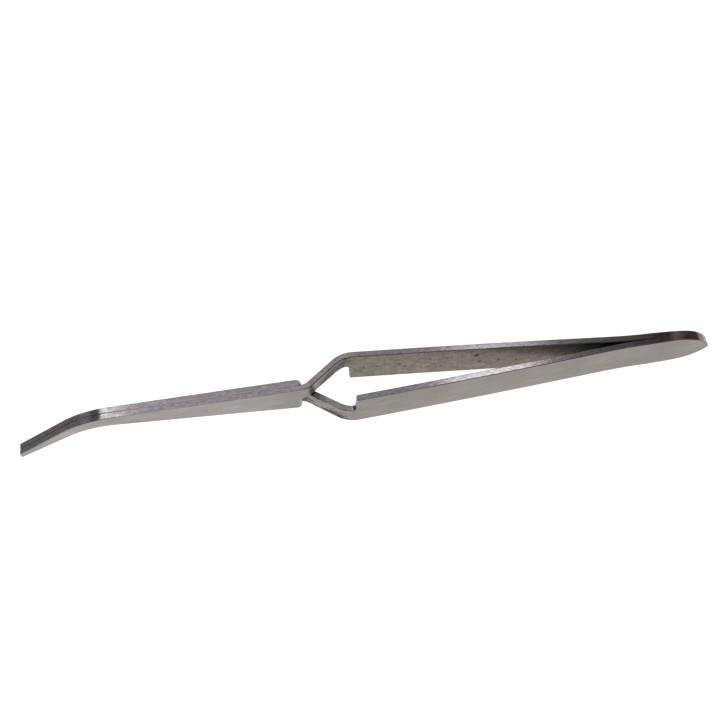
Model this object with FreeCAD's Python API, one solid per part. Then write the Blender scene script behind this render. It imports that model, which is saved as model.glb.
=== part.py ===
import FreeCAD, Part
import math
import os

from FreeCAD import Vector

# Cross-lock tweezers with curved tips, in millimetres.
# Two blades of one sheet thickness stand on edge, side by side, and are welded together at the tail.
# The arms bow apart, step down to half-width necks, change sides and meet again as the tip blades.
# The blades are drawn level, with the tail nose at X = 0, the tips at -X and the arms' top edge at Z = 0.
# At the end they are tilted together into the pose in which they rest on tail and tips.
# Final frame: +X towards the tail, +Y towards the far arm, +Z up, origin under the middle of the whole.

# Sheet and overall sizes
overall_length = 165.0
sheet_thickness = 1.5
arm_width = 10.0
edge_break = 0.15

# Tail, seen from the side: two arcs on each half, down to a blunt nose
tail_shoulder_radius = 19.8
tail_flank_radius = 9.2
tail_nose_radius = 0.6
tail_nose_half_angle = 60.0

# Outer faces of the tail, ground thinner after welding: full depth at the end, running out at the root bend
tail_ground_depth = 0.2
tail_ground_length = 9.0

# Weld round the tail: it fills a bevel on each blade and stops short of the bend at the root
weld_depth = 0.5
weld_end_gap = 0.5

# Arms, seen from above: where they part, how far they lean out and how they straighten
root_flat_length = 14.6
root_bend_radius = 122.0
arm_root_angle = 4.82
arm_end_angle = 3.64
arm_length = 61.0

# Bow and crossing, seen from above
bow_bend_radius = 6.6
neck_angle = 36.2
cross_bend_radius = 3.0

# Necks, seen from the side: one takes the upper part of the width, the other the lower part.
# The upper one's lower edge rises towards its arm.
neck_width = 4.85
upper_neck_rise = 0.6
notch_offset = 0.7
notch_undercut = 0.3
notch_arm_fillet = 1.0
notch_tip_fillet = 0.8
crossing_clearance = 0.1

# Root end of each tip blade, seen from above: its outer corner is rounded
tip_root_round = 1.2

# Tip blades, seen from the side
tip_root_offset = 1.47
tip_root_drop = 0.95
tip_root_width = 8.55
tip_top_taper = 2.33
tip_bottom_taper = 4.27
neck_blend_radius = 60.0
hook_top_length = 16.9
hook_bottom_length = 18.1
hook_angle = 36.3
hook_top_radius = 19.7
hook_bottom_radius = 18.6
tip_end_height = 1.6
tip_corner_round = 0.2

# How far a cutting shape reaches past what it cuts, and the turn between faces that makes an edge sharp
cut_margin = 2.0
sharp_edge_angle = math.radians(45)


def from_above(a, b):
    """Point of the plan, drawn in the plane of the arms' top edge."""
    return Vector(a, b, 0)


def from_side(a, b):
    """Point of the side view, drawn in the plane between the blades."""
    return Vector(a, 0, b)


def edge_through(points, place):
    """Straight edge through two points of a view, or an arc through three."""
    spots = [place(a, b) for a, b in points]
    if len(spots) == 2:
        return Part.LineSegment(*spots).toShape()
    return Part.Arc(*spots).toShape()


def follow(steps, heading):
    """Pieces of a centre line of runs and bends that starts at the tail nose, and where it ends.

    A step is a length and a turn of zero, or a radius and a turn, positive to the left.
    """
    pieces = []
    x, y = 0.0, sheet_thickness / 2
    for size, turn in steps:
        if turn == 0:
            pieces.append((x, y, size, heading, turn))
            x += size * math.cos(heading)
            y += size * math.sin(heading)
        else:
            side = math.copysign(1.0, turn)
            x -= side * size * math.sin(heading)
            y += side * size * math.cos(heading)
            pieces.append((x, y, size, heading, turn))
            heading += turn
            x += side * size * math.sin(heading)
            y -= side * size * math.cos(heading)
    return pieces, x, y


def beside(piece, offset):
    """Points of the line that runs at an offset to the left of one piece of a centre line."""
    x, y, size, heading, turn = piece
    if turn == 0:
        x -= offset * math.sin(heading)
        y += offset * math.cos(heading)
        return [(x, y), (x + size * math.cos(heading), y + size * math.sin(heading))]
    side = math.copysign(1.0, turn)
    radius = size - side * offset
    headings = (heading, heading + turn / 2, heading + turn)
    return [(x + side * radius * math.sin(h), y - side * radius * math.cos(h)) for h in headings]


def rounded_chain(corners):
    """Points of the straight pieces and arcs along a chain of corners (a, b, radius)."""
    chain = []
    last = corners[0][:2]
    for before, corner, after in zip(corners, corners[1:], corners[2:]):
        a, b, radius = corner
        to_before = math.atan2(before[1] - b, before[0] - a)
        to_after = math.atan2(after[1] - b, after[0] - a)
        half = abs(math.remainder(to_after - to_before, math.tau)) / 2
        middle = to_before + math.remainder(to_after - to_before, math.tau) / 2
        cut = radius / math.tan(half)
        reach = radius / math.sin(half) - radius
        start = (a + cut * math.cos(to_before), b + cut * math.sin(to_before))
        chain.append([last, start])
        last = start
        if radius > 0:
            end = (a + cut * math.cos(to_after), b + cut * math.sin(to_after))
            chain.append([start, (a + reach * math.cos(middle), b + reach * math.sin(middle)), end])
            last = end
    chain.append([last, corners[-1][:2]])
    return chain


def arc_points(centre, radius, start, end):
    """Three points of an arc of a side view, by its angles from the X axis."""
    angles = (start, (start + end) / 2, end)
    return [(centre[0] + radius * math.cos(q), centre[1] + radius * math.sin(q)) for q in angles]


def tail_end():
    """Points of the tail's arcs from the lower shoulder round the nose to the upper one, and its length."""
    half_width = arm_width / 2
    nose_turn = math.radians(tail_nose_half_angle)
    spare = tail_shoulder_radius - half_width - tail_flank_radius * math.cos(nose_turn)
    shoulder_turn = math.acos(spare / (tail_shoulder_radius - tail_flank_radius))
    flank_drop = tail_flank_radius * math.cos(nose_turn)
    nose_reach = math.sqrt((tail_flank_radius - tail_nose_radius) ** 2 - flank_drop ** 2)
    nose = (-tail_nose_radius, -half_width)
    flank_x = nose[0] - nose_reach
    shoulder_x = flank_x - (tail_shoulder_radius - tail_flank_radius) * math.sin(shoulder_turn)
    flank_end = math.atan2(flank_drop, nose_reach)
    shoulder_end = math.pi / 2 - shoulder_turn
    lower_shoulder = (shoulder_x, tail_shoulder_radius - arm_width)
    upper_shoulder = (shoulder_x, -tail_shoulder_radius)
    lower_flank = (flank_x, -half_width + flank_drop)
    upper_flank = (flank_x, -half_width - flank_drop)
    arcs = [
        arc_points(lower_shoulder, tail_shoulder_radius, -math.pi / 2, -shoulder_end),
        arc_points(lower_flank, tail_flank_radius, -shoulder_end, -flank_end),
        arc_points(nose, tail_nose_radius, -flank_end, flank_end),
        arc_points(upper_flank, tail_flank_radius, flank_end, shoulder_end),
        arc_points(upper_shoulder, tail_shoulder_radius, shoulder_end, math.pi / 2),
    ]
    return arcs, -shoulder_x


def blade_path():
    """Pieces of the far blade's centre line, and the X where its bow and its tip blade start."""
    root = math.radians(arm_root_angle)
    end = math.radians(arm_end_angle)
    neck = math.radians(neck_angle)
    arm_steps = [
        (root_flat_length, 0),
        (root_bend_radius, -root),
        (arm_length / (root - end), root - end),
    ]
    bow_x = follow(arm_steps, math.pi)[1]
    bow_steps = arm_steps + [(bow_bend_radius, end + neck)]
    bow_end_y = follow(bow_steps, math.pi)[2]
    cross_drop = cross_bend_radius * (1 - math.cos(neck))
    neck_run = (bow_end_y + sheet_thickness / 2 - cross_drop) / math.sin(neck)
    steps = bow_steps + [(neck_run, 0), (cross_bend_radius, -neck)]
    tip_x = follow(steps, math.pi)[1]
    steps.append((overall_length + tip_x + cut_margin, 0))
    return follow(steps, math.pi)[0], bow_x, tip_x


def tip_top(tip_x):
    """Corners of the tip's top edge, from its root to its end."""
    root_x = tip_x - tip_root_offset
    bend_x = hook_top_length - overall_length
    bend_z = -tip_root_drop - (root_x - bend_x) * math.tan(math.radians(tip_top_taper))
    end_z = bend_z - hook_top_length * math.tan(math.radians(hook_angle))
    return [
        (bend_x, bend_z, hook_top_radius),
        (-overall_length, end_z, tip_corner_round),
    ]


def tip_bottom(tip_x):
    """Corners of the tip's bottom edge, from its root to its end."""
    root_x = tip_x - tip_root_offset
    bend_x = hook_bottom_length - overall_length
    root_z = -tip_root_drop - tip_root_width
    bend_z = root_z + (root_x - bend_x) * math.tan(math.radians(tip_bottom_taper))
    end_z = tip_top(tip_x)[-1][1] - tip_end_height
    return [
        (bend_x, bend_z, hook_bottom_radius),
        (-overall_length, end_z, tip_corner_round),
    ]


def blade_corners(bow_x, tip_x, neck_above):
    """Corners of a blade's side outline, from the upper shoulder of the tail round to the lower one."""
    shoulder_x = -tail_end()[1]
    notch_x = bow_x - notch_offset
    end_x = tip_x - crossing_clearance
    root_x = tip_x - tip_root_offset
    root_bottom = -tip_root_drop - tip_root_width
    top = tip_top(tip_x)
    bottom = tip_bottom(tip_x)
    if neck_above:
        end_bottom = root_bottom - (end_x - root_x) * math.tan(math.radians(tip_bottom_taper))
        upper = [(notch_x, 0, neck_blend_radius), (root_x, -tip_root_drop, neck_blend_radius)]
        lower = [
            (end_x, end_bottom, 0),
            (end_x, -neck_width, notch_tip_fillet),
            (notch_x, upper_neck_rise - neck_width, notch_arm_fillet),
            (notch_x + notch_undercut, -arm_width, 0),
        ]
    else:
        end_top = -tip_root_drop + (end_x - root_x) * math.tan(math.radians(tip_top_taper))
        upper = [
            (notch_x + notch_undercut, 0, 0),
            (notch_x, neck_width - arm_width, notch_arm_fillet),
            (end_x, neck_width - arm_width, notch_tip_fillet),
            (end_x, end_top, 0),
        ]
        lower = [(root_x, root_bottom, neck_blend_radius), (notch_x, -arm_width, neck_blend_radius)]
    start = (shoulder_x, 0, 0)
    finish = (shoulder_x, -arm_width, 0)
    return [start] + upper + top + bottom[::-1] + lower + [finish]


def sheet_strip(path):
    """The far blade's strip as seen from above, tall enough for any outline to be cut from it."""
    half = sheet_thickness / 2
    left = [beside(piece, half) for piece in path]
    right = [beside(piece, -half) for piece in path]
    ends = [[left[0][0], right[0][0]], [left[-1][-1], right[-1][-1]]]
    edges = [edge_through(points, from_above) for points in left + right + ends]
    face = Part.Face(Part.Wire(Part.__sortEdges__(edges)))
    height = arm_width + overall_length / 2
    face.translate(Vector(0, 0, cut_margin - height))
    strip = face.extrude(Vector(0, 0, height))
    return strip.cut(ground_off(height))


def ground_off(height):
    """What grinding takes off the outer face of the far blade's tail, as tall as the strip."""
    ground_y = sheet_thickness - tail_ground_depth
    corners = [
        (cut_margin, ground_y),
        (-tail_ground_length, ground_y),
        (-root_flat_length, sheet_thickness),
        (-root_flat_length, sheet_thickness + cut_margin),
        (cut_margin, sheet_thickness + cut_margin),
    ]
    sides = zip(corners, corners[1:] + corners[:1])
    edges = [edge_through(points, from_above) for points in sides]
    face = Part.Face(Part.Wire(edges))
    face.translate(Vector(0, 0, cut_margin - height))
    return face.extrude(Vector(0, 0, height))


def root_corner(tip_x, low_z, high_z):
    """What rounding takes off the outer corner at the root end of the far blade's tip, between two heights."""
    end_x = tip_x - crossing_clearance
    start_x = end_x - tip_root_round
    inner_y = tip_root_round - sheet_thickness
    reach = tip_root_round * math.sqrt(0.5)
    sides = [
        [(start_x, -sheet_thickness), (start_x + reach, inner_y - reach), (end_x, inner_y)],
        [(end_x, inner_y), (end_x + cut_margin, inner_y)],
        [(end_x + cut_margin, inner_y), (end_x + cut_margin, -sheet_thickness - cut_margin)],
        [(end_x + cut_margin, -sheet_thickness - cut_margin), (start_x, -sheet_thickness - cut_margin)],
        [(start_x, -sheet_thickness - cut_margin), (start_x, -sheet_thickness)],
    ]
    face = Part.Face(Part.Wire([edge_through(points, from_above) for points in sides]))
    face.translate(Vector(0, 0, low_z))
    return face.extrude(Vector(0, 0, high_z - low_z))


def cut_blade(strip, corners, root_cut):
    """One blade: the formed strip inside its side outline, with the root end of its tip rounded."""
    chain = rounded_chain(corners) + tail_end()[0]
    edges = [edge_through(points, from_side) for points in chain]
    face = Part.Face(Part.Wire(Part.__sortEdges__(edges)))
    reach = strip.BoundBox.YLength + cut_margin
    face.translate(Vector(0, -reach, 0))
    return break_edges(strip.common(face.extrude(Vector(0, 2 * reach, 0))).cut(root_cut), root_cut)


def break_edges(blade, root_cut):
    """The blade with its sharp edges broken by a small chamfer, but for those where the rounding stops."""
    ends = (root_cut.BoundBox.ZMin, root_cut.BoundBox.ZMax)
    sharp = []
    for edge in blade.Edges:
        height = edge.BoundBox.ZMin
        if edge.BoundBox.ZLength < 0.001 and min(abs(height - end) for end in ends) < 0.001:
            continue
        middle = edge.valueAt((edge.FirstParameter + edge.LastParameter) / 2)
        normals = []
        for face in blade.ancestorsOfType(edge, Part.Face):
            normals.append(face.normalAt(*face.Surface.parameter(middle)))
        if len(normals) == 2 and normals[0].getAngle(normals[1]) > sharp_edge_angle:
            sharp.append(edge)
    return blade.makeChamfer(edge_break, sharp)


def weld_bead():
    """The far half of the weld: the wedge that bevelling the tail's rim takes off the far blade."""
    end_x = weld_end_gap - root_flat_length
    arcs, shoulder = tail_end()
    sides = [
        [(-shoulder, 0), (end_x, 0)],
        [(end_x, 0), (end_x, -arm_width)],
        [(end_x, -arm_width), (-shoulder, -arm_width)],
    ]
    edges = [edge_through(points, from_side) for points in sides + arcs]
    face = Part.Face(Part.Wire(Part.__sortEdges__(edges)))
    block = face.extrude(Vector(0, sheet_thickness, 0))
    seam = [edge for edge in block.Edges if edge.BoundBox.YMax < sheet_thickness / 2]
    rim = [edge for edge in seam if edge.CenterOfMass.x > end_x + weld_end_gap / 2]
    return block.cut(block.makeChamfer(weld_depth, rim))


def resting_tilt(tip_x):
    """Angle that brings the tail's lower shoulder and the tip's lower corner down to one level."""
    end_z = tip_bottom(tip_x)[-1][1]
    across = overall_length - tip_corner_round - tail_end()[1]
    above = tail_shoulder_radius - arm_width - (end_z + tip_corner_round)
    lean = math.atan2(above, across)
    return lean - math.asin((tail_shoulder_radius - tip_corner_round) / math.hypot(across, above))


path, bow_x, tip_x = blade_path()
far_strip = sheet_strip(path)
near_strip = far_strip.mirror(Vector(0, 0, 0), Vector(0, 1, 0))
far_root = root_corner(tip_x, -arm_width - cut_margin, -neck_width - notch_tip_fillet)
near_root = root_corner(tip_x, neck_width - arm_width + notch_tip_fillet, cut_margin)
near_root = near_root.mirror(Vector(0, 0, 0), Vector(0, 1, 0))
far_bead = weld_bead()
near_bead = far_bead.mirror(Vector(0, 0, 0), Vector(0, 1, 0))

parts = {
    "far_blade": cut_blade(far_strip, blade_corners(bow_x, tip_x, True), far_root).cut(far_bead),
    "near_blade": cut_blade(near_strip, blade_corners(bow_x, tip_x, False), near_root).cut(near_bead),
    "tail_weld": far_bead.fuse(near_bead).removeSplitter(),
}

tilt = math.degrees(resting_tilt(tip_x))
for shape in parts.values():
    shape.rotate(Vector(0, 0, 0), Vector(0, 1, 0), tilt)
whole = Part.makeCompound(list(parts.values())).optimalBoundingBox(False, False)
shift = Vector(-(whole.XMin + whole.XMax) / 2, 0, -whole.ZMin)

os.makedirs("parts", exist_ok=True)
for name, shape in parts.items():
    shape.translate(shift)
    shape.exportStep("parts/" + name + ".step")
    print(name, len(shape.Solids), "solid,", round(shape.Volume, 2), "mm3")
print("tilt", round(tilt, 3), "box", whole.XLength, whole.YLength, whole.ZLength)
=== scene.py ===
import logging
import math
from dataclasses import dataclass, replace
from enum import Enum

import bpy
from mathutils import Matrix, Vector

# Looks of a pair of cross-lock tweezers with curved tips, in metres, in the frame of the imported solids.
# The tail is at +X, the tips are at -X, the far arm is at +Y and the tweezers stand on the floor at Z = 0.
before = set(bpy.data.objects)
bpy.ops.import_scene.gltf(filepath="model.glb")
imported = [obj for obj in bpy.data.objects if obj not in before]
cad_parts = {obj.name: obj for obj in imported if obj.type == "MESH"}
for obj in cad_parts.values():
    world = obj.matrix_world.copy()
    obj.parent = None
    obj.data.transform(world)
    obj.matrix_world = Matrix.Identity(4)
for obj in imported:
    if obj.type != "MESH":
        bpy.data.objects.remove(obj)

log = logging.getLogger("tweezers")

MM = 0.001

# Where the blades change sides along X, and over what length one look gives way to the next
CROSSING_MM = -14.3
FADE_MM = 1.0

# Sockets of Blender's Mix node by number: its share, its two plain values, its two colours and what comes out
SHARE = 0
VALUE_A = 2
VALUE_B = 3
COLOUR_A = 6
COLOUR_B = 7
MIXED_VALUE = 0
MIXED_COLOUR = 2

Socket = bpy.types.NodeSocket
Tree = bpy.types.NodeTree
Place = tuple[float, float, float]


def linear(colour: str) -> tuple[float, float, float, float]:
    """Turns an sRGB hex colour into linear light.

    Args:
        colour: six hex digits after a hash sign.

    Returns:
        Red, green and blue in linear light, and an alpha of one.
    """
    parts = [int(colour[i:i + 2], 16) / 255 for i in (1, 3, 5)]
    light = [c / 12.92 if c <= 0.04045 else ((c + 0.055) / 1.055) ** 2.4 for c in parts]
    return (light[0], light[1], light[2], 1.0)


def add_node(tree: Tree, kind: str, sockets: dict[str | int, object] | None = None,
             **settings: object) -> bpy.types.Node:
    """Adds a node to a tree, sets its properties and fills or links its input sockets.

    Args:
        tree: the node tree of a material or of the world.
        kind: Blender's name of the node type.
        sockets: for each input, by name or number, a constant or the output socket that feeds it.
        settings: properties of the node by name.

    Returns:
        The new node.
    """
    node = tree.nodes.new("ShaderNode" + kind)
    for name, value in settings.items():
        setattr(node, name, value)
    for name, value in (sockets or {}).items():
        if isinstance(value, Socket):
            tree.links.new(value, node.inputs[name])
        else:
            node.inputs[name].default_value = value
    return node


class Gap(Enum):
    """Which way the broad face that looks into the gap between the arms points along Y."""

    TOWARDS_NEAR_ARM = -1.0
    TOWARDS_FAR_ARM = 1.0


@dataclass(frozen=True)
class Point:
    """What the nodes know of a point on a blade: where it lies and which surface it is on.

    Sideways and upward are the parts of its normal along Y and Z. Inward is how far that normal points
    into the gap. Inside and rim are shares: one on the faces inside the gap, and one on the rim.
    """

    place: Socket
    along: Socket
    sideways: Socket
    upward: Socket
    inward: Socket
    inside: Socket
    rim: Socket


@dataclass(frozen=True)
class Grain:
    """Uneven tone of a steel surface, long along the blade and narrow across it.

    Real belt marks are under 0.05 mm wide and too fine to show, so they are drawn this much coarser.
    The tone is dark where the noise is at its low value and light where it is at its high one.
    """

    length_mm: float
    width_mm: float
    dark: str
    light: str
    depth_mm: float = 0.0
    fineness: float = 0.6
    low: float = 0.3
    high: float = 0.7

    def pattern(self, tree: Tree, place: Socket) -> Socket:
        """Adds the pattern of the grain.

        Args:
            tree: the material's node tree.
            place: the point on the object.

        Returns:
            The pattern, about 0.5 on average.
        """
        across = 1 / (self.width_mm * MM)
        scale = (1 / (self.length_mm * MM), across, across)
        stretched = add_node(tree, "Mapping", {"Vector": place, "Scale": scale}).outputs[0]
        noise = add_node(tree, "TexNoise", {"Vector": stretched, "Scale": 1.0, "Detail": 5.0,
                                            "Roughness": self.fineness})
        return noise.outputs[0]

    def tone(self, tree: Tree, pattern: Socket) -> Socket:
        """Adds the colour of the grain, dark where the pattern is low and light where it is high."""
        share = add_node(tree, "MapRange", {"Value": pattern, "From Min": self.low,
                                            "From Max": self.high}).outputs[0]
        return add_node(tree, "Mix", {SHARE: share, COLOUR_A: linear(self.dark),
                                      COLOUR_B: linear(self.light)},
                        data_type="RGBA").outputs[MIXED_COLOUR]

    def relief(self, tree: Tree, pattern: Socket) -> Socket:
        """Adds the height of the grain in millimetres."""
        return add_node(tree, "Math", {0: pattern, 1: self.depth_mm}, operation="MULTIPLY").outputs[0]


@dataclass(frozen=True)
class Pits:
    """Fine corrosion pits of uneven size, in two of five cells of a random grid."""

    colour: str = "#3a342f"
    spacing_mm: float = 0.8
    radius_mm: float = 0.25
    empty_share: float = 0.6

    def over(self, tree: Tree, place: Socket, base: Socket) -> Socket:
        """Adds the pits.

        Args:
            tree: the material's node tree.
            place: the point on the object.
            base: the colour round the pits.

        Returns:
            The pitted colour.
        """
        cells = add_node(tree, "TexVoronoi", {"Vector": place, "Scale": 1 / (self.spacing_mm * MM)})
        chance = add_node(tree, "SeparateColor", {0: cells.outputs["Color"]}).outputs[0]
        reach = add_node(tree, "MapRange", {"Value": chance, "From Min": self.empty_share,
                                            "To Max": self.radius_mm / self.spacing_mm}).outputs[0]
        pit = add_node(tree, "Math", {0: reach, 1: cells.outputs["Distance"]},
                       operation="GREATER_THAN").outputs[0]
        return add_node(tree, "Mix", {SHARE: pit, COLOUR_A: base, COLOUR_B: linear(self.colour)},
                        data_type="RGBA").outputs[MIXED_COLOUR]


@dataclass(frozen=True)
class HeatTint:
    """The mottled brown tint that welding left on the rim of the tail."""

    grain: Grain = Grain(3.0, 2.0, "#493f3c", "#8d7b73")
    start_mm: float = 62.0
    full_mm: float = 72.0

    def over(self, tree: Tree, place: Socket, along: Socket, base: Socket) -> Socket:
        """Adds the tint.

        Args:
            tree: the material's node tree.
            place: the point on the object.
            along: the point's X.
            base: the colour of the rim.

        Returns:
            The tinted colour.
        """
        share = add_node(tree, "MapRange", {"Value": along, "From Min": self.start_mm * MM,
                                            "From Max": self.full_mm * MM}).outputs[0]
        tint = self.grain.tone(tree, self.grain.pattern(tree, place))
        return add_node(tree, "Mix", {SHARE: share, COLOUR_A: base, COLOUR_B: tint},
                        data_type="RGBA").outputs[MIXED_COLOUR]


@dataclass(frozen=True)
class EdgeShadeAndHighlight:
    """The narrow broken edges: painted shade on the arms and beyond the hook, deepest on the side of the gap,
    and a painted highlight where the tips run straight.
    """

    dark: str = "#4f4a49"
    bright: str = "#aea7ab"
    hook_mm: float = -61.5
    # Product of the normal's parts along Y and Z, where an edge begins and where it is full
    slant_start: float = 0.22
    slant_full: float = 0.36
    # How far inward an edge's normal points once it counts as one on the side of the gap
    turned: float = 0.5
    # How much of its painted tone, shade on the arms and highlight on the straight tips, an edge takes on,
    # away from the gap and on the side of the gap
    outer_strength: float = 0.1
    inner_strength: float = 0.9

    def over(self, tree: Tree, point: Point, base: Socket) -> Socket:
        """Adds the edges.

        Args:
            tree: the material's node tree.
            point: where the point lies and which surface it is on.
            base: the colour beside the edges.

        Returns:
            The colour with its edges.
        """
        slant = add_node(tree, "Math", {0: point.sideways, 1: point.upward},
                         operation="MULTIPLY").outputs[0]
        size = add_node(tree, "Math", {0: slant}, operation="ABSOLUTE").outputs[0]
        arms = add_node(tree, "MapRange", {
            "Value": point.along, "From Min": (CROSSING_MM - 2 * FADE_MM) * MM,
            "From Max": (CROSSING_MM - FADE_MM) * MM}).outputs[0]
        hook = add_node(tree, "MapRange", {
            "Value": point.along, "From Min": (self.hook_mm + 2 * FADE_MM) * MM,
            "From Max": self.hook_mm * MM}).outputs[0]
        dull = add_node(tree, "Math", {0: arms, 1: hook}, operation="MAXIMUM").outputs[0]
        # Painted highlight on the edges where the tips run straight, painted shade on the arms and beyond the
        # hook
        tone = add_node(tree, "Mix", {SHARE: dull, COLOUR_A: linear(self.bright),
                                      COLOUR_B: linear(self.dark)},
                        data_type="RGBA").outputs[MIXED_COLOUR]
        strength = add_node(tree, "MapRange", {
            "Value": point.inward, "From Min": -self.turned, "From Max": self.turned,
            "To Min": self.outer_strength, "To Max": self.inner_strength}).outputs[0]
        share = add_node(tree, "MapRange", {"Value": size, "From Min": self.slant_start,
                                            "From Max": self.slant_full, "To Max": strength}).outputs[0]
        return add_node(tree, "Mix", {SHARE: share, COLOUR_A: base, COLOUR_B: tone},
                        data_type="RGBA").outputs[MIXED_COLOUR]


@dataclass(frozen=True)
class Mark:
    """A dark mark on the steel: where it is, how far it reaches and how much of the steel it hides."""

    place_mm: Place
    radius_mm: float
    strength: float


@dataclass(frozen=True)
class DirtAndShade:
    """Dark stains, corrosion spots, dark patches and patches of painted shade, with ragged outlines.

    They show on surfaces that look towards -Y, and at about half strength on the rim. The lumps of the
    noise that makes their outlines ragged are about half a millimetre wide.
    """

    # Colour of the stains and spots, and of the painted shade
    colour: str = "#241e1a"
    lumps_per_mm: float = 1.8
    # Values of the noise that count as low and high, and what the distance from a mark is multiplied by there
    low: float = 0.35
    high: float = 0.65
    low_stretch: float = 0.6
    high_stretch: float = 1.6
    # Share of a mark's radius up to which it is full and where it ends, for a stretch of one
    full_share: float = 0.4
    end_share: float = 1.2
    # Part of the normal along Y where marks are hidden and where they are full
    hidden_normal: float = 0.2
    full_normal: float = -0.2

    def over(self, tree: Tree, point: Point, base: Socket, marks: tuple[Mark, ...]) -> Socket:
        """Adds marks, one over the other.

        Args:
            tree: the material's node tree.
            point: where the point lies and which surface it is on.
            base: the colour under the marks.
            marks: the marks.

        Returns:
            The marked colour.
        """
        noise = add_node(tree, "TexNoise", {"Vector": point.place, "Scale": self.lumps_per_mm / MM,
                                            "Detail": 3.0}).outputs[0]
        stretch = add_node(tree, "MapRange", {
            "Value": noise, "From Min": self.low, "From Max": self.high,
            "To Min": self.low_stretch, "To Max": self.high_stretch}).outputs[0]
        facing = add_node(tree, "MapRange", {"Value": point.sideways, "From Min": self.hidden_normal,
                                             "From Max": self.full_normal}).outputs[0]
        marked = base
        for mark in marks:
            centre = [value * MM for value in mark.place_mm]
            radius = mark.radius_mm * MM
            away = add_node(tree, "VectorMath", {0: point.place, 1: centre},
                            operation="DISTANCE").outputs["Value"]
            reach = add_node(tree, "Math", {0: away, 1: stretch}, operation="MULTIPLY").outputs[0]
            share = add_node(tree, "MapRange", {
                "Value": reach, "From Min": self.end_share * radius,
                "From Max": self.full_share * radius, "To Max": mark.strength}).outputs[0]
            marked = add_node(tree, "Mix", {SHARE: share, COLOUR_A: marked,
                                            COLOUR_B: linear(self.colour)},
                              data_type="RGBA").outputs[MIXED_COLOUR]
        return add_node(tree, "Mix", {SHARE: facing, COLOUR_A: base, COLOUR_B: marked},
                        data_type="RGBA").outputs[MIXED_COLOUR]


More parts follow.
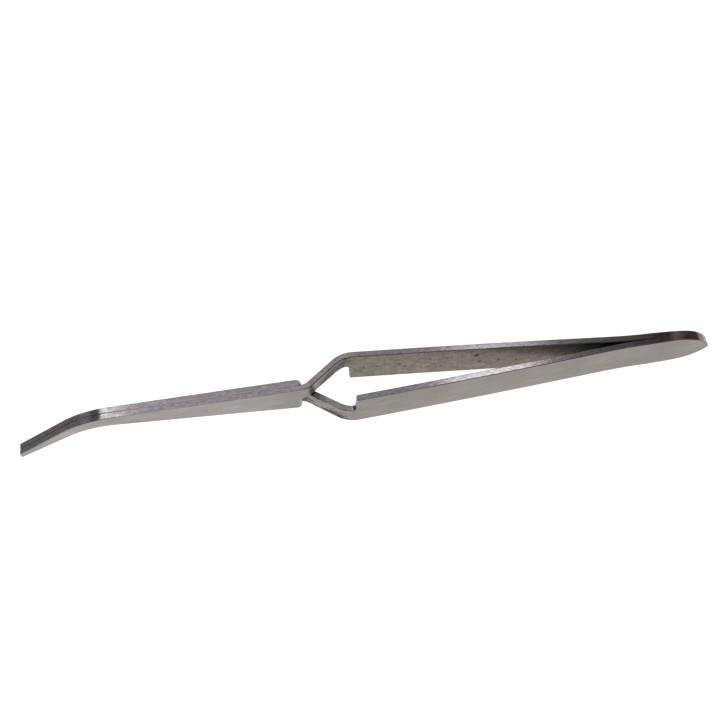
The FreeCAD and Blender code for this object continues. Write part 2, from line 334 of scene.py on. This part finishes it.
@dataclass(frozen=True)
class SpringSteel:
    """Stainless spring steel sheet, satin on its outer faces and coarsely ground along its rim.

    The outer faces shift slowly in tone, and the ground tips are a little lighter and cooler.
    The rim is slightly purple, mottled by coarse marks and, near the weld, brown from the heat.
    The faces inside the gap keep the sheet's brownish skin with fine pits.
    """

    face: Grain = Grain(9.0, 0.4, "#7b766f", "#959088", depth_mm=0.002, fineness=0.8)
    tip: Grain = replace(face, dark="#888480", light="#a5a19d")
    cloud: Grain = Grain(13.0, 7.0, "#e4e3e2", "#ffffff")
    rim: Grain = Grain(1.2, 0.42, "#736d70", "#b0aaab", depth_mm=0.005, fineness=0.7)
    skin: Grain = Grain(2.5, 1.6, "#544d45", "#8e867a", depth_mm=0.01, fineness=0.9)
    pits: Pits = Pits()
    heat: HeatTint = HeatTint()
    edges: EdgeShadeAndHighlight = EdgeShadeAndHighlight()
    dirt_and_shade: DirtAndShade = DirtAndShade()
    face_roughness: float = 0.3
    rim_roughness: float = 0.11
    cut_roughness: float = 0.4
    tip_start_mm: float = -19.0
    tip_full_mm: float = -27.0
    # Part of the normal along Y: a face from the first value up, the rim from the second down
    face_normal: float = 0.78
    rim_normal: float = 0.62
    # Part of a rim's normal along Z: left as cut from the first value down, ground from the second up
    cut_normal: float = 0.5
    ground_normal: float = 0.7

    def material(self, name: str, gap: Gap, marks: tuple[Mark, ...]) -> bpy.types.Material:
        """Builds the material of one blade.

        Args:
            name: the material's name.
            gap: which broad face of this blade looks into the gap.
            marks: the larger dark marks on the blade.

        Returns:
            The new material.
        """
        material, tree = new_material(name)
        point = self.point(tree, gap)
        face_pattern = self.face.pattern(tree, point.place)
        skin_pattern = self.skin.pattern(tree, point.place)
        rim_pattern = self.rim.pattern(tree, point.place)

        outer = self.satin(tree, point, face_pattern)
        inner = self.pits.over(tree, point.place, self.skin.tone(tree, skin_pattern))
        faces = add_node(tree, "Mix", {SHARE: point.inside, COLOUR_A: outer, COLOUR_B: inner},
                         data_type="RGBA").outputs[MIXED_COLOUR]
        ground = self.heat.over(tree, point.place, point.along, self.rim.tone(tree, rim_pattern))
        steel = add_node(tree, "Mix", {SHARE: point.rim, COLOUR_A: faces, COLOUR_B: ground},
                         data_type="RGBA").outputs[MIXED_COLOUR]
        # Painted shade on the edges, deepest in the gap between the blades, and a painted highlight on the
        # straight tips' edges
        painted_edges = self.edges.over(tree, point, steel)
        # Stains, spots, dark patches and painted shade of the marks
        marked = self.dirt_and_shade.over(tree, point, painted_edges, marks)

        flat = add_node(tree, "Mix", {SHARE: point.inside, VALUE_A: self.face.relief(tree, face_pattern),
                                      VALUE_B: self.skin.relief(tree, skin_pattern)}).outputs[MIXED_VALUE]
        height = add_node(tree, "Mix", {SHARE: point.rim, VALUE_A: flat,
                                        VALUE_B: self.rim.relief(tree, rim_pattern)}).outputs[MIXED_VALUE]
        finish_steel(tree, marked, self.roughness(tree, point), height)
        return material

    def point(self, tree: Tree, gap: Gap) -> Point:
        """Adds the nodes that say where a point of the blade lies and which surface it is on.

        Args:
            tree: the material's node tree.
            gap: which broad face of this blade looks into the gap.

        Returns:
            Their sockets.
        """
        coords = add_node(tree, "TexCoord").outputs
        normal = add_node(tree, "SeparateXYZ", {"Vector": coords["Normal"]}).outputs
        along = add_node(tree, "SeparateXYZ", {"Vector": coords["Object"]}).outputs["X"]
        across = add_node(tree, "Math", {0: normal["Y"]}, operation="ABSOLUTE").outputs[0]
        rim = add_node(tree, "MapRange", {"Value": across, "From Min": self.face_normal,
                                          "From Max": self.rim_normal}).outputs[0]
        # Past the crossing, the other broad face of the blade looks inward
        side = add_node(tree, "MapRange", {
            "Value": along, "From Min": (CROSSING_MM + FADE_MM / 2) * MM,
            "From Max": (CROSSING_MM - FADE_MM / 2) * MM, "To Min": gap.value,
            "To Max": -gap.value}).outputs[0]
        inward = add_node(tree, "Math", {0: normal["Y"], 1: side}, operation="MULTIPLY").outputs[0]
        inside = add_node(tree, "MapRange", {"Value": inward, "From Min": self.rim_normal,
                                             "From Max": self.face_normal}).outputs[0]
        return Point(coords["Object"], along, normal["Y"], normal["Z"], inward, inside, rim)

    def satin(self, tree: Tree, point: Point, pattern: Socket) -> Socket:
        """Adds the tone of the outer faces.

        Args:
            tree: the material's node tree.
            point: where the point lies and which surface it is on.
            pattern: the pattern of the faces' grain.

        Returns:
            The tone.
        """
        tips = add_node(tree, "MapRange", {"Value": point.along, "From Min": self.tip_start_mm * MM,
                                           "From Max": self.tip_full_mm * MM}).outputs[0]
        grained = add_node(tree, "Mix", {SHARE: tips, COLOUR_A: self.face.tone(tree, pattern),
                                         COLOUR_B: self.tip.tone(tree, pattern)},
                           data_type="RGBA").outputs[MIXED_COLOUR]
        clouds = self.cloud.tone(tree, self.cloud.pattern(tree, point.place))
        return add_node(tree, "Mix", {SHARE: 1.0, COLOUR_A: grained, COLOUR_B: clouds}, data_type="RGBA",
                        blend_type="MULTIPLY").outputs[MIXED_COLOUR]

    def roughness(self, tree: Tree, point: Point) -> Socket:
        """Adds the roughness, least on the ground rim and most on the notches and ends left as cut.

        Args:
            tree: the material's node tree.
            point: where the point lies and which surface it is on.

        Returns:
            The roughness.
        """
        upright = add_node(tree, "Math", {0: point.upward}, operation="ABSOLUTE").outputs[0]
        rim = add_node(tree, "MapRange", {
            "Value": upright, "From Min": self.cut_normal, "From Max": self.ground_normal,
            "To Min": self.cut_roughness, "To Max": self.rim_roughness}).outputs[0]
        return add_node(tree, "MapRange", {"Value": point.rim, "To Min": self.face_roughness,
                                           "To Max": rim}).outputs[0]

    def weld_material(self, name: str) -> bpy.types.Material:
        """Builds the material of the weld: the same heat-tinted grain as the rim beside it.

        Args:
            name: the material's name.

        Returns:
            The new material.
        """
        material, tree = new_material(name)
        place = add_node(tree, "TexCoord").outputs["Object"]
        along = add_node(tree, "SeparateXYZ", {"Vector": place}).outputs["X"]
        pattern = self.rim.pattern(tree, place)
        tinted = self.heat.over(tree, place, along, self.rim.tone(tree, pattern))
        finish_steel(tree, tinted, self.rim_roughness, self.rim.relief(tree, pattern))
        return material


def new_material(name: str) -> tuple[bpy.types.Material, Tree]:
    """Makes a material with an empty node tree.

    Args:
        name: the material's name.

    Returns:
        The new material and its node tree.
    """
    material = bpy.data.materials.new(name)
    material.use_nodes = True
    material.node_tree.nodes.clear()
    return material, material.node_tree


def finish_steel(tree: Tree, colour: Socket, roughness: Socket | float, height: Socket) -> None:
    """Adds the metal shader and the output.

    Args:
        tree: the material's node tree.
        colour: the steel's colour.
        roughness: the steel's roughness.
        height: the surface's relief in millimetres.
    """
    bump = add_node(tree, "Bump", {"Strength": 1.0, "Distance": MM, "Height": height}).outputs[0]
    shader = add_node(tree, "BsdfPrincipled", {"Base Color": colour, "Metallic": 1.0,
                                               "Roughness": roughness, "Normal": bump})
    add_node(tree, "OutputMaterial", {"Surface": shader.outputs[0]})


@dataclass
class Blade:
    """One formed sheet blade: an arm, a half-width neck and a tapered tip."""

    node: str
    gap: Gap
    finish: SpringSteel
    marks: tuple[Mark, ...]

    def dress(self) -> None:
        """Gives the blade its steel."""
        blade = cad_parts[self.node]
        steel = self.finish.material(self.node + "_spring_steel", self.gap, self.marks)
        blade.material_slots[0].material = steel
        log.info("%s dressed in %s", self.node, steel.name)


@dataclass
class TailWeld:
    """The bead that joins the two blades round the rim of the tail."""

    finish: SpringSteel
    node: str = "tail_weld"

    def dress(self) -> None:
        """Gives the weld its steel."""
        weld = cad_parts[self.node]
        steel = self.finish.weld_material("ground_weld_steel")
        weld.material_slots[0].material = steel
        log.info("%s dressed in %s", self.node, steel.name)


@dataclass
class Viewpoint:
    """The camera: where it stands, how far it is turned from +Y, tipped down and rolled, and its lens."""

    place_mm: Place = (-12.98, -107.97, 214.64)
    heading_deg: float = 6.142
    down_deg: float = 60.798
    roll_deg: float = -3.004
    lens_mm: float = 50.0
    sensor_mm: float = 36.0
    nearest_mm: float = 10.0

    def build(self) -> None:
        """Makes the camera."""
        heading = math.radians(self.heading_deg)
        down = math.radians(self.down_deg)
        roll = math.radians(self.roll_deg)
        ahead = Vector((math.sin(heading) * math.cos(down), math.cos(heading) * math.cos(down),
                        -math.sin(down)))
        level = Vector((math.cos(heading), -math.sin(heading), 0.0))
        over = level.cross(ahead)
        right = level * math.cos(roll) + over * math.sin(roll)
        up = right.cross(ahead)
        data = bpy.data.cameras.new("photo_view")
        data.lens = self.lens_mm
        data.sensor_width = self.sensor_mm
        data.clip_start = self.nearest_mm * MM
        camera = bpy.data.objects.new("photo_view", data)
        turn = Matrix((right, up, -ahead)).transposed().to_4x4()
        camera.matrix_world = Matrix.Translation(Vector(self.place_mm) * MM) @ turn
        bpy.context.scene.collection.objects.link(camera)
        bpy.context.scene.camera = camera
        log.info("camera placed")


@dataclass
class Softbox:
    """A rectangular studio lamp. A brightness of one is that of a surface that renders as plain white."""

    name: str
    centre_mm: Place
    size_mm: tuple[float, float]
    brightness: float
    turn_deg: float = 0.0

    def build(self) -> None:
        """Makes the lamp, aimed at the middle of the floor."""
        data = bpy.data.lights.new(self.name, "AREA")
        data.shape = "RECTANGLE"
        data.size = self.size_mm[0] * MM
        data.size_y = self.size_mm[1] * MM
        data.energy = self.brightness * math.pi * data.size * data.size_y
        lamp = bpy.data.objects.new(self.name, data)
        centre = Vector(self.centre_mm) * MM
        aim = (-centre).to_track_quat("-Z", "Y").to_matrix().to_4x4()
        turn = Matrix.Rotation(math.radians(self.turn_deg), 4, "Z")
        lamp.matrix_world = Matrix.Translation(centre) @ aim @ turn
        bpy.context.scene.collection.objects.link(lamp)


@dataclass
class Studio:
    """A white floor that glows like a light table, two strip lamps, a key lamp, a fill lamp and a room."""

    floor_colour: str = "#b4b4b4"
    floor_glow: float = 0.88
    floor_roughness: float = 0.9
    floor_half_mm: float = 3000.0
    white: str = "#ffffff"
    lamps: tuple[Softbox, ...] = (
        Softbox("left_key", (-800, -350, 700), (600, 400), 6.0),
        Softbox("right_strip", (202, 257, 632), (80, 160), 2.2, turn_deg=29.0),
        Softbox("right_fill", (340, -70, 610), (160, 160), 2.5),
        Softbox("left_strip", (-240, 318, 600), (95, 220), 1.6),
    )
    room_colour: str = "#fbf8ff"
    # Brightness of the room, by the sideways part of the direction, from -1 at the left to 1 at the right
    room: tuple[tuple[float, float], ...] = (
        (-1.0, 0.34), (-0.75, 0.30), (-0.66, 0.46), (-0.58, 0.44), (-0.51, 0.20), (-0.37, 0.18),
        (-0.30, 0.95), (-0.20, 0.95), (-0.14, 0.98), (-0.08, 0.86), (0.02, 0.80), (0.07, 0.88),
        (0.11, 0.60), (0.16, 0.58), (0.24, 0.66), (0.30, 0.54), (0.36, 0.18), (0.42, 0.14),
        (0.47, 0.34), (0.50, 0.44), (0.55, 0.46), (0.68, 0.38), (0.76, 0.20), (1.0, 0.18),
    )

    def build(self) -> None:
        """Makes the floor, the lamps and the light of the room."""
        self.build_floor()
        self.build_room()
        for lamp in self.lamps:
            lamp.build()
        log.info("studio built with %d lamps", len(self.lamps))

    def build_floor(self) -> None:
        """Makes the floor, a sheet of opal acrylic lit from below: matt, white and free of shadows."""
        half = self.floor_half_mm * MM
        mesh = bpy.data.meshes.new("floor")
        mesh.from_pydata([(-half, -half, 0), (half, -half, 0), (half, half, 0), (-half, half, 0)], [],
                         [(0, 1, 2, 3)])
        floor = bpy.data.objects.new("floor", mesh)
        bpy.context.scene.collection.objects.link(floor)
        material, tree = new_material("opal_acrylic")
        shader = add_node(tree, "BsdfPrincipled", {
            "Base Color": linear(self.floor_colour), "Roughness": self.floor_roughness,
            "Specular IOR Level": 0.0, "Emission Color": linear(self.white),
            "Emission Strength": self.floor_glow})
        add_node(tree, "OutputMaterial", {"Surface": shader.outputs[0]})
        mesh.materials.append(material)

    def build_room(self) -> None:
        """Makes the light of the room, with dark walls beside the strip lamps, and a plain white backdrop."""
        world = bpy.data.worlds.new("room")
        world.use_nodes = True
        tree = world.node_tree
        tree.nodes.clear()
        way = add_node(tree, "TexCoord").outputs["Generated"]
        parts = add_node(tree, "SeparateXYZ", {"Vector": way}).outputs
        share = add_node(tree, "MapRange", {"Value": parts["X"], "From Min": -1.0}).outputs[0]
        ramp = add_node(tree, "ValToRGB", {"Fac": share})
        stops = ramp.color_ramp.elements
        while len(stops) < len(self.room):
            stops.new(1.0)
        red, green, blue, _ = linear(self.room_colour)
        for stop, (side, level) in zip(stops, self.room):
            stop.position = (side + 1) / 2
            stop.color = (level * red, level * green, level * blue, 1.0)
        seen = add_node(tree, "LightPath").outputs["Is Camera Ray"]
        light = add_node(tree, "Mix", {SHARE: seen, COLOUR_A: ramp.outputs[0],
                                       COLOUR_B: linear(self.white)},
                         data_type="RGBA").outputs[MIXED_COLOUR]
        back = add_node(tree, "Background", {"Color": light, "Strength": 1.0})
        add_node(tree, "OutputWorld", {"Surface": back.outputs[0]})
        bpy.context.scene.world = world


@dataclass(frozen=True)
class WearAndShade:
    """Where the two blades carry their larger dark marks: stains, dirt, spots, dark patches and painted
    shade.
    """

    far: tuple[Mark, ...] = (
        # Corrosion spots on the far arm's inner face
        Mark((26.5, 2.9, 9.1), 0.7, 0.95),
        Mark((27.4, 2.8, 6.2), 0.6, 0.9),
        Mark((25.3, 3.0, 10.9), 0.35, 0.8),
        Mark((36.2, 2.2, 5.8), 0.4, 0.8),
        Mark((18.2, 3.5, 5.4), 0.35, 0.8),
        Mark((19.5, 3.4, 9.0), 0.35, 0.8),
        Mark((15.7, 3.7, 9.2), 0.3, 0.8),
        Mark((9.6, 4.1, 6.9), 0.35, 0.8),
        Mark((8.2, 4.2, 8.1), 0.3, 0.8),
        # Dark patch on the inner face of the upper neck, running into the bow
        Mark((-9.6, 1.7, 10.2), 1.9, 1.0),
        Mark((-8.6, 2.4, 10.7), 2.0, 1.0),
        Mark((-7.4, 3.2, 10.9), 2.1, 0.9),
        Mark((-6.0, 4.2, 11.1), 2.1, 0.65),
        Mark((-4.6, 4.7, 11.8), 1.7, 0.5),
        # Painted shade in the corner where the upper neck bends into the tip
        Mark((-12.7, -0.6, 10.6), 1.5, 0.2),
    )
    near: tuple[Mark, ...] = (
        # Dirt along the lower edge of the lower neck
        Mark((-12.0, -2.0, 3.8), 1.1, 1.0),
        Mark((-11.0, -2.7, 3.9), 1.2, 1.0),
        Mark((-10.2, -3.3, 4.2), 1.6, 1.0),
        Mark((-9.4, -3.9, 4.3), 1.8, 1.0),
        Mark((-8.7, -4.4, 4.3), 1.9, 1.0),
        Mark((-8.0, -4.9, 4.2), 1.9, 1.0),
        Mark((-7.2, -5.5, 4.0), 1.7, 1.0),
        Mark((-7.2, -5.4, 5.2), 1.5, 0.4),
        # Dirt and painted shade where the lower neck comes out from under the far blade
        Mark((-14.6, -0.2, 6.4), 1.3, 0.8),
        Mark((-13.3, -1.0, 6.2), 1.0, 0.7),
        Mark((-14.6, -0.2, 4.1), 1.3, 1.0),
        Mark((-13.8, -0.6, 3.9), 1.3, 1.0),
        Mark((-13.0, -1.2, 3.8), 1.2, 1.0),
        # Painted shade on the lower neck's rim beside the crossing, for the dark underside of the far blade
        # that the rim reflects
        Mark((-12.4, -0.7, 8.7), 1.5, 0.6),
        Mark((-11.2, -1.6, 8.7), 1.8, 0.6),
        # A small spot on the near arm's outer face
        Mark((50.6, -2.52, 4.08), 0.3, 0.7),
    )


def main() -> None:
    """Builds the looks round the fixed solids."""
    logging.basicConfig(level=logging.INFO)
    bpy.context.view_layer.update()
    Viewpoint().build()
    steel = SpringSteel()
    wear_and_shade = WearAndShade()
    Blade("far_blade", Gap.TOWARDS_NEAR_ARM, steel, wear_and_shade.far).dress()
    Blade("near_blade", Gap.TOWARDS_FAR_ARM, steel, wear_and_shade.near).dress()
    TailWeld(steel).dress()
    Studio().build()
    bpy.context.scene.view_settings.view_transform = "Standard"


if __name__ == "__main__":
    main()
